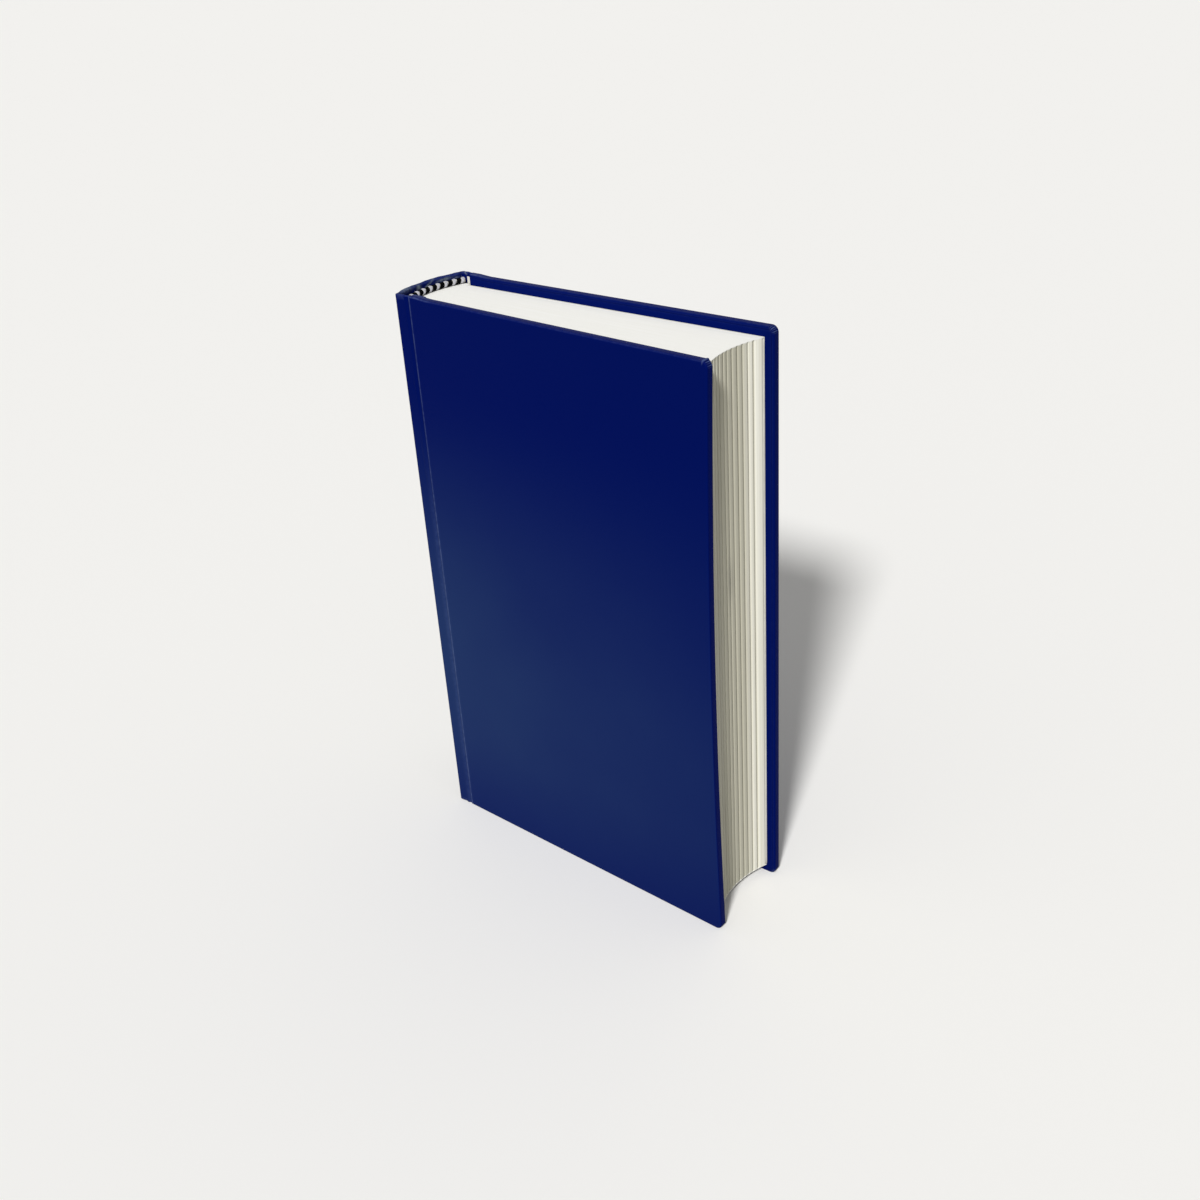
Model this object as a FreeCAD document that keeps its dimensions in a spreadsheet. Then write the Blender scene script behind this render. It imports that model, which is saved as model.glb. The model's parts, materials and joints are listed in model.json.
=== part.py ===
import FreeCAD, Part
import math
import os
import re

import Sketcher
from FreeCAD import Placement, Rotation, Vector

# A case-bound journal of folded sections, with a rounded and backed spine, striped headbands and a
# hollow-back case of boards covered in one skin. It stands on its tail, spine to -X, front cover to
# -Y, with the front cover lying on leaves that have fanned a little open.
#
# Frame: +Z up, origin at the centre of the foot of the whole book as it stands.
#
# Three local frames carry the pieces, all of them at the middle of the book's height:
#   spine frame   origin on the axis that the spine's layers are round about, half way between the covers
#   front hinge   origin on the front joint, at the face of the case, x along the cover, y into the book
#   back hinge    the same for the back cover, turned over about X
# so a cover and its mirror image are one set of sketches.

SIZES = {
    # case
    "board_thickness": (2.25, "grey board"),
    "covering_thickness": (0.35, "skin of the case"),
    "turn_in": (15.0, "width of the covering folded to the inside"),
    "corner_round": (2.3, "radius of a cover's corner at the fore-edge"),
    "edge_round": (0.55, "radius of a cover's long outer edges"),
    "joint_width": (5.5, "spine edge of the case to the joint"),
    "joint_slit": (0.4, "cut between the covering of a cover and that of the spine"),
    "joint_gap": (1.0, "joint to the board's edge"),
    "groove_depth": (0.4, "depth of the crease at the joint"),
    "groove_width": (1.4, "crease's slope on the spine's side"),
    "spine_round": (3.4, "how far the spine bows out of its edges"),
    "spine_corner": (0.9, "radius of the case's long spine edges"),
    "inlay_thickness": (0.6, "card that stiffens the spine"),
    "inlay_margin": (1.3, "spine edge of the case to the card"),
    # leaves
    "pages_thickness": (25.8, "sewn leaves pressed flat at the joint"),
    "leaf_height": (203.0, "trimmed height of the leaves"),
    "leaf_reach": (122.1, "joint to the fore-edge of the leaves"),
    "fore_square": (3.5, "how far the covers pass the leaves at the fore-edge"),
    "end_square": (3.5, "how far the covers pass the leaves at head and tail"),
    "fore_hollow": (3.4, "depth of the hollow in the fore-edge"),
    "sections": (13, "folded sections in the block"),
    "fold_crown": (0.25, "roundness of a section's fold at the spine"),
    "band_crown": (0.2, "roundness of a section's leaves at the fore-edge"),
    "endpaper_thickness": (0.15, "endpaper"),
    "leaf_clearance": (0.3, "between a cover and the leaves it lies on"),
    "shoulder_root": (0.35, "joint to the foot of the backed shoulder"),
    # sewing
    "thread_thickness": (0.4, "linen thread, let into the folds"),
    "stitch_rows": (4, "rows of stitches across the folds"),
    "stitch_margin": (12.0, "head or tail of the leaves to the nearest row"),
    # spine linings
    "mull_thickness": (0.2, "gauze glued over the folds"),
    "mull_clearance": (0.5, "gauze to the turn-ins"),
    "mull_flap": (24.0, "gauze pasted on to a board"),
    "lining_thickness": (0.2, "paper over the gauze"),
    "lining_margin": (1.0, "end of the gauze to the end of the paper"),
    "hollow": (1.0, "hollow between the paper lining and the spine card"),
    # headbands
    "bead_radius": (1.2, "headband's rolled edge, over its yarn"),
    "yarn_thickness": (0.35, "silk wound on the rolled edge"),
    "tape_thickness": (0.3, "headband's tape"),
    "tape_clearance": (2.0, "foot of the tape to the gauze"),
    "light_wraps": (9, "light stripes in a headband"),
    "headband_margin": (1.5, "face of the case to the end of a headband"),
    # how it stands
    "ajar_angle": (2.84, "front cover and leaves fanned open, in degrees"),
    "cover_bow": (2.2, "how far the front cover's fore-edge bows out at half its height"),
}

# Sizes that follow from the ones above.
WORKED = {
    "case_height": "leaf_height + 2*end_square",
    "mull_height": "case_height - 2*(turn_in + mull_clearance)",
    "cover_depth": "board_thickness + 2*covering_thickness",
    "leaf_level": "cover_depth + 2*endpaper_thickness + leaf_clearance",
    "case_thickness": "pages_thickness + 2*leaf_level",
    "half_case": "case_thickness/2",
    "half_slit": "joint_slit/2",
    "cover_reach": "leaf_reach + fore_square",
    "case_width": "joint_width + cover_reach",
    "spine_radius": "(half_case^2 + spine_round^2)/(2*spine_round)",
    "edge_x": "spine_radius - spine_round",
    "hinge_x": "joint_width - edge_x",
    "skin_radius": "spine_radius - covering_thickness",
    "inlay_radius": "skin_radius - inlay_thickness",
    "lining_radius": "inlay_radius - hollow",
    "mull_radius": "lining_radius - lining_thickness",
    "crest_radius": "mull_radius - mull_thickness",
    "fold_radius": "crest_radius - fold_crown",
    "lowest_row": "stitch_margin - leaf_height/2",
    "shoulder_y": "half_case - covering_thickness",
    "shoulder_angle": "asin(shoulder_y/fold_radius)",
    "inlay_angle": "asin((half_case - inlay_margin)/skin_radius)",
    "band_angle": "asin((half_case - headband_margin)/crest_radius)",
    "wrap_angle": "2*band_angle/(2*light_wraps - 1)",
    "bead_centre": "crest_radius + tape_thickness - bead_radius",
    "bead_height": "leaf_height/2 + bead_radius",
    "core_radius": "bead_radius - yarn_thickness",
    "board_level": "covering_thickness + board_thickness",
    "ajar_rise": "cover_reach*sin(ajar_angle) + cover_bow*cos(ajar_angle)",
    "middle_x": "(case_width - spine_round)/2",
    "middle_y": "(case_thickness - ajar_rise)/2",
}

doc = FreeCAD.newDocument("journal")
sheet = doc.addObject("Spreadsheet::Sheet", "sizes")
for row, (alias, (number, meaning)) in enumerate(SIZES.items(), start=1):
    sheet.set(f"A{row}", alias)
    sheet.set(f"B{row}", str(number))
    sheet.set(f"C{row}", meaning)
    sheet.setAlias(f"B{row}", alias)
doc.recompute()

FLATS = 6  # flat sides in the three quarters of a round that yarn covers on a headband
PARTS = []


def formula(text):
    """An expression on the sheet's cells, with every worked size written out."""
    def swap(match):
        word = match.group(0)
        if word in WORKED:
            return "(" + formula(WORKED[word]) + ")"
        return "sizes." + word if word in SIZES else word
    return re.sub(r"[a-z]\w*", swap, text)


def number(text):
    return float(sheet.evalExpression(formula(text)))


def origin_feature(body, role):
    return next(part for part in body.Origin.OriginFeatures if part.Role == role)


# ---------------------------------------------------------------- sub-parts and where they stand

def sub_part(label, x, y, turn=None, z="case_height/2"):
    """A body named for its piece, placed in the book by the sheet."""
    body = doc.addObject("PartDesign::Body", label)
    body.Label = label
    body.AllowCompound = True
    if turn is not None:
        body.Placement = Placement(Vector(), turn)
    body.setExpression("Placement.Base.x", formula(f"{x} - middle_x"))
    body.setExpression("Placement.Base.y", formula(f"{y} - middle_y"))
    body.setExpression("Placement.Base.z", formula(z))
    PARTS.append(body)
    return body


def spine_part(label, upside_down=False):
    turn = Rotation(Vector(1, 0, 0), 180) if upside_down else None
    return sub_part(label, "edge_x", "half_case", turn)


def cover_part(label, side):
    """A piece in the frame of the front or the back hinge."""
    if side == "back":
        return sub_part(label, "joint_width", "case_thickness", Rotation(Vector(1, 0, 0), 180))
    body = sub_part(label, "joint_width", "0")
    body.setExpression("Placement.Rotation.Angle", formula("-ajar_angle"))
    return body


# ---------------------------------------------------------------- sketches and features

def corner(x, y, crown=None, radius=None):
    """A corner of an outline. The edge that leaves it is straight, or an arc that bulges to the right
    of its travel, by a crown or with a radius; a minus sign makes it bulge to the left."""
    return x, y, crown, radius


def rectangle(x0, x1, y0, y1):
    return [corner(x0, y0), corner(x1, y0), corner(x1, y1), corner(x0, y1)]


def edge_between(start, end):
    """The line or arc from one corner to the next, and the formula of its radius."""
    (x0, y0, crown, radius), (x1, y1) = start, end[:2]
    a = Vector(number(x0), number(y0), 0)
    b = Vector(number(x1), number(y1), 0)
    if crown is None and radius is None:
        return Part.LineSegment(a, b), None
    chord = f"(({x1}) - ({x0}))^2 + (({y1}) - ({y0}))^2"
    if radius is None:
        rise = number(crown)
        radius = f"({chord})/(8*abs({crown})) + abs({crown})/2"
    else:
        size = abs(number(radius))
        half = a.distanceToPoint(b)/2
        rise = math.copysign(size - math.sqrt(size**2 - half**2), number(radius))
        radius = f"abs({radius})"
    along = (b - a).normalize()
    top = (a + b)*0.5 + Vector(along.y, -along.x, 0)*rise
    return Part.Arc(a, top, b), radius


def end_of(sketch, edge, spot):
    """Which end of an edge, 1 or 2, lies at a spot."""
    return min((1, 2), key=lambda end: sketch.getPoint(edge, end).distanceToPoint(spot))


def hold(sketch, constraint, text):
    index = sketch.addConstraint(constraint)
    sketch.setExpression(f"Constraints[{index}]", formula(text))


def outline(sketch, corners):
    """A closed loop through the corners, each one held at its place by the sheet."""
    edges = []
    for start, end in zip(corners, corners[1:] + corners[:1]):
        shape, radius = edge_between(start, end)
        edge = sketch.addGeometry(shape, False)
        first = end_of(sketch, edge, Vector(number(start[0]), number(start[1]), 0))
        edges.append((edge, first))
        hold(sketch, Sketcher.Constraint("DistanceX", -1, 1, edge, first, number(start[0])), start[0])
        hold(sketch, Sketcher.Constraint("DistanceY", -1, 1, edge, first, number(start[1])), start[1])
        if radius:
            hold(sketch, Sketcher.Constraint("Radius", edge, number(radius)), radius)
    for (edge, first), (following, start) in zip(edges, edges[1:] + edges[:1]):
        sketch.addConstraint(Sketcher.Constraint("Coincident", edge, 3 - first, following, start))


def sketch_in(body, name, loops, plane="XY_Plane", swing=None, shift=None):
    """Outlines on one of the body's own origin planes. Swing turns the plane about the body's Z, and
    shift moves it along its own normal."""
    sketch = body.newObject("Sketcher::SketchObject", name)
    sketch.AttachmentSupport = [(origin_feature(body, plane), "")]
    sketch.MapMode = "FlatFace"
    if swing:
        sketch.AttachmentOffset = Placement(Vector(), Rotation(Vector(0, 1, 0), 0))
        sketch.setExpression("AttachmentOffset.Rotation.Angle", formula(swing))
    if shift:
        sketch.setExpression("AttachmentOffset.Base.z", formula(shift))
    for corners in loops:
        outline(sketch, corners)
    return sketch


def feature(body, kind, name, sketch, length):
    """A pad or pocket as long as given, half of it on each side of its sketch."""
    shape = body.newObject(f"PartDesign::{kind}", name)
    shape.Profile = sketch
    shape.SideType = "Symmetric"
    shape.setExpression("Length", formula(length))
    doc.recompute()
    return shape


def pad(body, name, corners, height, shift=None):
    return feature(body, "Pad", name, sketch_in(body, name + "_outline", [corners], shift=shift), height)


def pocket(body, name, corners, height, shift=None):
    return feature(body, "Pocket", name, sketch_in(body, name + "_outline", [corners], shift=shift), height)


def revolution(body, name, corners, angle, swing):
    """Sweep an outline that lies in the plane of X and Z about the body's Z."""
    shape = body.newObject("PartDesign::Revolution", name)
    shape.Profile = sketch_in(body, name + "_outline", [corners], "XZ_Plane", swing)
    shape.ReferenceAxis = (origin_feature(body, "Z_Axis"), [""])
    shape.setExpression("Angle", formula(angle))
    doc.recompute()
    return shape


def fillet(body, name, radius, picks):
    """Round the edges of the body's last feature whose middle point passes the test."""
    base = body.Tip
    names = []
    for index, edge in enumerate(base.Shape.Edges, start=1):
        middle = edge.valueAt((edge.FirstParameter + edge.LastParameter)/2)
        along = edge.tangentAt((edge.FirstParameter + edge.LastParameter)/2)
        if picks(middle, along):
            names.append(f"Edge{index}")
    shape = body.newObject("PartDesign::Fillet", name)
    shape.Base = (base, names)
    shape.setExpression("Radius", formula(radius))
    doc.recompute()
    return shape


# ---------------------------------------------------------------- outlines that pieces share

def on_circle(radius, angle):
    """The x and y of a point on a spine layer, as an angle from the middle of the spine to the back."""
    return f"-({radius})*cos({angle})", f"({radius})*sin({angle})"


def band(inner, outer, angle):
    """A layer round the spine's axis, from minus the angle to plus it."""
    return [
        corner(*on_circle(outer, angle), radius=outer),
        corner(*on_circle(outer, f"-({angle})")),
        corner(*on_circle(inner, f"-({angle})"), radius=f"-({inner})"),
        corner(*on_circle(inner, angle)),
    ]


def from_front_hinge(along, into):
    """A point of the front hinge's frame, told in the spine frame."""
    x = f"hinge_x + ({along})*cos(ajar_angle) + ({into})*sin(ajar_angle)"
    y = f"-half_case - ({along})*sin(ajar_angle) + ({into})*cos(ajar_angle)"
    return x, y


# ---------------------------------------------------------------- the leaves

def fore_edge():
    """Round-fronted sections side by side across the hollow fore-edge, from front to back."""
    x0, y0 = from_front_hinge("leaf_reach", "leaf_level")
    x1, y1 = "hinge_x + leaf_reach", "half_case - leaf_level"
    count = int(number("sections"))
    spots = []
    for section in range(count):
        share = f"({section}/sections)"
        x = f"({x0}) + (({x1}) - ({x0}))*{share} - fore_hollow*4*{share}*(1 - {share})"
        y = f"({y0}) + (({y1}) - ({y0}))*{share}"
        spots.append(corner(x, y, crown="band_crown"))
    return spots + [corner(x1, y1)]


def folds():
    """The folds of the sections side by side round the spine, from back to front."""
    spots = []
    for section in range(int(number("sections"))):
        x, y = on_circle("fold_radius", f"shoulder_angle*(1 - 2*{section}/sections)")
        spots.append(corner(x, y, crown="fold_crown"))
    return spots + [corner(*on_circle("fold_radius", "-shoulder_angle"))]


def row_of_stitches(outer):
    """A layer from the bottom of the thread out to a radius, from the first fold to the last."""
    return band("crest_radius - thread_thickness", outer, "shoulder_angle*(1 - 1/sections)")


def repeat_rows(body, row):
    """Repeat the lowest row of stitches up to the head of the leaves."""
    rows = body.newObject("PartDesign::LinearPattern", "rows")
    rows.Originals = [row]
    rows.Direction = (origin_feature(body, "Z_Axis"), [""])
    rows.setExpression("Length", formula("leaf_height - 2*stitch_margin"))
    rows.setExpression("Occurrences", formula("stitch_rows"))
    body.Tip = rows
    doc.recompute()


def make_text_block():
    """The sewn leaves: hollow fore-edge, rounded folds, and shoulders backed out over the boards."""
    crest = "hinge_x - groove_width"
    slope = "hinge_x - shoulder_root"
    front = [
        corner(crest, "-shoulder_y"),
        corner(slope, "-shoulder_y + groove_depth"),
        corner(*from_front_hinge("-shoulder_root", "leaf_level")),
    ]
    back = [
        corner("hinge_x - shoulder_root", "half_case - leaf_level"),
        corner(slope, "shoulder_y - groove_depth"),
        corner(crest, "shoulder_y"),
    ]
    body = spine_part("text_block")
    pad(body, "leaves", front + fore_edge() + back + folds(), "leaf_height")
    kerf = pocket(body, "kerf", row_of_stitches("mull_radius"), "thread_thickness", "lowest_row")
    repeat_rows(body, kerf)


def make_sewing_thread():
    """The stitches that link the sections, each row in a kerf across the folds."""
    body = spine_part("sewing_thread")
    row = pad(body, "row", row_of_stitches("crest_radius"), "thread_thickness", "lowest_row")
    repeat_rows(body, row)


def make_flyleaf(side):
    """The free half of an endpaper, tipped to the first or last leaf."""
    body = cover_part(f"{side}_flyleaf", side)
    level = "leaf_level - endpaper_thickness"
    pad(body, "leaf", rectangle("half_slit", "leaf_reach", level, "leaf_level"), "leaf_height")


# ---------------------------------------------------------------- what lines the spine

def make_spine_linings():
    """Gauze over the folds, a paper lining over the gauze and, across the hollow, the spine's card."""
    mull = spine_part("spine_mull")
    pad(mull, "gauze", band("crest_radius", "mull_radius", "band_angle"), "mull_height")
    lining = spine_part("spine_lining")
    pad(lining, "paper", band("mull_radius", "lining_radius", "band_angle"),
        "mull_height - 2*lining_margin")
    inlay = spine_part("spine_inlay")
    pad(inlay, "card", band("inlay_radius", "skin_radius", "inlay_angle"),
        "case_height - 2*covering_thickness")


def round_bead(radius):
    """Three quarters of a round about the headband's bead, from the spine's side over the top to the
    foot, as corners of flats."""
    spots = []
    for flat in range(FLATS + 1):
        angle = f"(180 - {flat}*270/{FLATS})"
        spots.append(corner(f"{radius}*cos({angle}) - bead_centre", f"bead_height + {radius}*sin({angle})"))
    return spots


def tape_outline():
    """A flat tape with its upper edge rolled round a cord."""
    inside = "-crest_radius"
    outside = "-(crest_radius + tape_thickness)"
    return [
        *round_bead("core_radius"),
        corner(inside, "leaf_height/2"),
        corner(inside, "mull_height/2 + tape_clearance"),
        corner(outside, "mull_height/2 + tape_clearance"),
        corner(outside, "leaf_height/2 + yarn_thickness"),
    ]


def make_yarn(label, upside_down, first, count):
    """Every second stripe of a headband: one wrap, swept along the bead and repeated."""
    body = spine_part(label, upside_down)
    swing = f"wrap_angle*{first} - band_angle"
    ring = round_bead("bead_radius") + round_bead("core_radius")[::-1]
    wrap = revolution(body, "wrap", ring, "wrap_angle", swing)
    stripes = body.newObject("PartDesign::PolarPattern", "stripes")
    stripes.Originals = [wrap]
    stripes.Axis = (origin_feature(body, "Z_Axis"), [""])
    stripes.setExpression("Angle", formula(f"2*wrap_angle*({count} - 1)"))
    stripes.setExpression("Occurrences", formula(count))
    body.Tip = stripes
    doc.recompute()


def make_headband(end):
    """A striped headband, stuck to the spine behind the head or the tail of the leaves."""
    upside_down = end == "tail"
    tape = spine_part(f"{end}_headband_tape", upside_down)
    revolution(tape, "tape", tape_outline(), "2*band_angle", "-band_angle")
    make_yarn(f"{end}_headband_light_yarn", upside_down, 0, "light_wraps")
    make_yarn(f"{end}_headband_dark_yarn", upside_down, 1, "(light_wraps - 1)")


# ---------------------------------------------------------------- the case

def strip_outline(near, far):
    """The covering's two flat strips from spine edge to joint and the round between them, as a layer
    from one depth below the face of the case to another."""
    def side(sign, depth):
        edge = f"-sqrt((spine_radius - ({depth}))^2 - (half_case - ({depth}))^2)"
        face = f"half_case - ({depth})"
        return [
            (edge, f"{sign}({face})"),
            ("hinge_x - groove_width", f"{sign}({face})"),
            ("hinge_x - half_slit", f"{sign}({face} - groove_depth)"),
        ]
    front_out, front_in = side("-", near), side("-", far)
    back_out, back_in = side("", near), side("", far)
    return [
        corner(*front_out[0]), corner(*front_out[1]), corner(*front_out[2]),
        corner(*front_in[2]), corner(*front_in[1]),
        corner(*front_in[0], radius=f"-(spine_radius - ({far}))"),
        corner(*back_in[0]), corner(*back_in[1]), corner(*back_in[2]),
        corner(*back_out[2]), corner(*back_out[1]),
        corner(*back_out[0], radius=f"spine_radius - ({near})"),
    ]


def make_spine_covering():
    """The covering round the spine: skin, card pocket, and turn-ins at head and tail."""
    body = spine_part("spine_covering")
    pad(body, "skin", strip_outline("0", "covering_thickness"), "case_height")
    inside = "inlay_radius - covering_thickness"
    pad(body, "turn_ins", band(inside, "skin_radius", "inlay_angle"), "case_height")
    pocket(body, "between_turn_ins", band(inside, "skin_radius", "inlay_angle"),
           "case_height - 2*turn_in")
    pocket(body, "card_pocket", band("inlay_radius", "skin_radius", "inlay_angle"),
           "case_height - 2*covering_thickness")

    def is_spine_edge(middle, along):
        on_edge = abs(middle.x + number("edge_x")) < 1e-4
        return abs(along.z) > 0.9 and on_edge and abs(middle.y) > number("shoulder_y")
    fillet(body, "spine_corners", "spine_corner", is_spine_edge)


def layer(body, side, name, near, far):
    """A layer of a cover between two depths below its face, from the joint to the fore-edge and as
    high as the case. The front cover is straight at the joint and bows out towards the fore-edge."""
    def section(crown):
        return [
            corner(near, "-case_height/2"),
            corner(far, "-case_height/2", crown=crown and f"-{crown}"),
            corner(far, "case_height/2"),
            corner(near, "case_height/2", crown=crown),
        ]
    bow = "cover_bow" if side == "front" else None
    joint_edge = sketch_in(body, name + "_joint_edge", [section(None)], "YZ_Plane", shift="joint_gap")
    fore_edge = sketch_in(body, name + "_fore_edge", [section(bow)], "YZ_Plane", shift="cover_reach")
    loft = body.newObject("PartDesign::AdditiveLoft", name)
    loft.Profile = joint_edge
    loft.Sections = [fore_edge]
    loft.Ruled = True
    doc.recompute()


def bowed_depth(side, depth, x, z):
    """Where a depth of a cover comes to lie at a place along it and up it."""
    if side == "back":
        return depth
    share = f"(({x}) - joint_gap)/(cover_reach - joint_gap)"
    return f"{depth} - cover_bow*{share}*(1 - (2*({z})/case_height)^2)"


def sheet_outline(far, height, radius=None):
    """A cover's layer seen from its face, from the joint, with round corners at the fore-edge."""
    top = f"({height})/2"
    if radius is None:
        return rectangle("joint_gap", far, f"-{top}", top)
    return [
        corner("joint_gap", f"-{top}"),
        corner(f"{far} - ({radius})", f"-{top}", radius=radius),
        corner(far, f"-{top} + ({radius})"),
        corner(far, f"{top} - ({radius})", radius=radius),
        corner(f"{far} - ({radius})", top),
        corner("joint_gap", top),
    ]


def cut_out(body, name, *loops):
    """Cut right through a cover's layers inside one outline, or between two."""
    feature(body, "Pocket", name, sketch_in(body, name + "_outline", loops, "XZ_Plane"), "case_thickness")


def trim(body, name, far, height, radius=None):
    """Cut away what lies outside a sheet's outline."""
    beyond = rectangle("joint_gap - turn_in", "cover_reach + turn_in",
                       "-(case_height/2 + turn_in)", "case_height/2 + turn_in")
    cut_out(body, name, beyond, sheet_outline(far, height, radius))


BOARD = ("cover_reach - covering_thickness", "case_height - 2*covering_thickness",
         "corner_round - covering_thickness")
WINDOW = ("cover_reach - turn_in", "case_height - 2*turn_in")
GAUZE = ("mull_flap", "mull_height")


def make_board(side):
    """Grey board, its fore-edge corners rounded off inside the covering's."""
    body = cover_part(f"{side}_board", side)
    layer(body, side, "board", "covering_thickness", "board_level")
    trim(body, "corners", *BOARD)


def make_covering(side):
    """The covering of one board: face, three wrapped edges and their turn-ins, and a lip that runs
    down into the joint."""
    body = cover_part(f"{side}_covering", side)
    layer(body, side, "wrapped_edges", "covering_thickness", "board_level")
    cut_out(body, "board_space", sheet_outline(*BOARD))
    layer(body, side, "turn_ins", "board_level", "cover_depth")
    cut_out(body, "window", sheet_outline(*WINDOW))
    layer(body, side, "skin", "0", "covering_thickness")
    outermost = number("cover_reach - covering_thickness/2")
    fillet(body, "corners", "corner_round",
           lambda middle, along: abs(along.y) > 0.9 and middle.x > outermost)

    def is_outer_edge(middle, along):
        face = number(bowed_depth(side, "0", str(middle.x), str(middle.z)))
        return abs(middle.y - face) < 1e-3 and middle.x > number("joint_gap") + 1e-6
    fillet(body, "edges", "edge_round", is_outer_edge)
    pad(body, "lip", [
        corner("half_slit", "groove_depth"),
        corner("joint_gap", "0"),
        corner("joint_gap", "covering_thickness"),
        corner("half_slit", "groove_depth + covering_thickness"),
    ], "case_height")


def make_mull_flap(side):
    """The end of the spine's gauze, pasted on the board inside the cover."""
    body = cover_part(f"{side}_mull_flap", side)
    layer(body, side, "gauze", "board_level", "board_level + mull_thickness")
    trim(body, "flap", *GAUZE)


def make_pastedown(side):
    """The pasted half of an endpaper. It lies on the turn-ins and drops to the board between them,
    and over the gauze flap."""
    body = cover_part(f"{side}_pastedown", side)
    gauze_level = "board_level + mull_thickness"
    top = "cover_depth + endpaper_thickness"
    layer(body, side, "beside_gauze", "board_level", gauze_level)
    cut_out(body, "gauze_space", sheet_outline(*GAUZE))
    layer(body, side, "over_gauze", gauze_level, "cover_depth")
    trim(body, "inside_turn_ins", *WINDOW)
    layer(body, side, "sheet", "cover_depth", top)
    trim(body, "sheet_edges", "leaf_reach", "leaf_height")

    dish_top = "case_height/2 - turn_in - endpaper_thickness"

    def section(x):
        """The dish at one place along the cover, its floor a sheet's thickness above the board."""
        floor = bowed_depth(side, "board_level + endpaper_thickness", x, dish_top)
        share = f"(({x}) - joint_gap)/(cover_reach - joint_gap)"
        crown = f"cover_bow*{share}*(2*({dish_top})/case_height)^2" if side == "front" else None
        open_side = f"{top} + turn_in"
        return sketch_in(body, "dish_section", [[
            corner(floor, f"-({dish_top})"),
            corner(open_side, f"-({dish_top})"),
            corner(open_side, dish_top),
            corner(floor, dish_top, crown=crown),
        ]], "YZ_Plane", shift=x)
    joint_end = section("mull_flap + endpaper_thickness")
    fore_end = section("cover_reach - turn_in - endpaper_thickness")
    dish = body.newObject("PartDesign::SubtractiveLoft", "dish")
    dish.Profile = joint_end
    dish.Sections = [fore_end]
    dish.Ruled = True
    doc.recompute()


make_text_block()
make_sewing_thread()
for cover in ("front", "back"):
    make_flyleaf(cover)
make_spine_linings()
for book_end in ("head", "tail"):
    make_headband(book_end)
make_spine_covering()
for cover in ("front", "back"):
    make_board(cover)
    make_covering(cover)
    make_mull_flap(cover)
    make_pastedown(cover)

doc.recompute()
for item in doc.Objects:
    if "Invalid" in item.State or "Error" in item.State:
        raise RuntimeError(f"{item.Label} did not build: {item.State}")
for piece in PARTS:
    if piece.Shape.isNull() or not piece.Shape.isValid() or not piece.Shape.Solids:
        raise RuntimeError(f"{piece.Label} has no sound shape")

os.makedirs("parts", exist_ok=True)
for piece in PARTS:
    piece.Shape.exportStep(f"parts/{piece.Label}.step")
    print(f"{piece.Label}: {len(piece.Shape.Solids)} solids, {piece.Shape.Volume:.1f} mm3")
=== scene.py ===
import json
import math

import bpy
import numpy as np
from mathutils import Matrix, Vector


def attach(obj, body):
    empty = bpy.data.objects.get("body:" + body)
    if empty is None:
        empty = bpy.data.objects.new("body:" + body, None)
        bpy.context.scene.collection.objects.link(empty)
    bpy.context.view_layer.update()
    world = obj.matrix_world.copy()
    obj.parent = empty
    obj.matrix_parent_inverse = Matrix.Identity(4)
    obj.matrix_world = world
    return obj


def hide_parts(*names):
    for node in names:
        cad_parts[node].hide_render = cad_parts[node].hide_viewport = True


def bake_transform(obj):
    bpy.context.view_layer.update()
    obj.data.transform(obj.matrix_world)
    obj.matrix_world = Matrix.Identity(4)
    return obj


# A case-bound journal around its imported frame. Row frame: +Z up, spine to -X, front cover to -Y.
# Lengths below are in millimetres; MM turns them to metres where a mesh is made.

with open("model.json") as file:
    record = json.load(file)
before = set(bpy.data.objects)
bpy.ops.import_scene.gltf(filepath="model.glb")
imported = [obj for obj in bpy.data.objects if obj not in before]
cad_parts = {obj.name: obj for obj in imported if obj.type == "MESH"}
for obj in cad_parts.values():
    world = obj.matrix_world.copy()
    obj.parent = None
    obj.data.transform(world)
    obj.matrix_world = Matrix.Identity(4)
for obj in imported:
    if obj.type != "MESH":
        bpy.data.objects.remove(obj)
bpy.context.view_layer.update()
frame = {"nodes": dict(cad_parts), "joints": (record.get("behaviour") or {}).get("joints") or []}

MM = 0.001
JOINT = {joint["name"]: Vector(joint["pos_m"])/MM for joint in frame["joints"]}
FRONT_HINGE = JOINT["front_joint"]
BACK_HINGE = JOINT["back_joint"]
HALF_CASE = (BACK_HINGE.y - FRONT_HINGE.y)/2
MIDDLE_Y = (BACK_HINGE.y + FRONT_HINGE.y)/2

SKIN = 0.35            # covering
BOARD = 2.25           # grey board
COVER = BOARD + 2*SKIN
TURN_IN = 15.0
REACH = 125.6          # joint to the fore-edge of a cover
TOP = 105.0            # half the height of the case
CORNER = 2.3           # round of a cover's corner
OUTER_ROUND = 0.55
INNER_ROUND = 0.35
JOINT_GAP = 1.0        # joint to the board
CREST = 1.4            # joint to the crest of the crease on the spine's side
GROOVE = 0.4
BOW = 2.2              # how far the front cover's fore-edge bows out
AJAR = math.radians(2.84)
CARD = 0.6             # spine card
HEM = 2*SKIN + 0.05    # folded covering beside the boards, its two layers 0.05 apart
CARD_HEM = 2*SKIN + CARD

JOINT_WIDTH = 5.5
SPINE_ROUND = 3.4
SPINE_CORNER = 0.9
SPINE_RADIUS = (HALF_CASE**2 + SPINE_ROUND**2)/(2*SPINE_ROUND)
SPINE_AXIS = FRONT_HINGE.x - JOINT_WIDTH + SPINE_RADIUS - SPINE_ROUND

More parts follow.
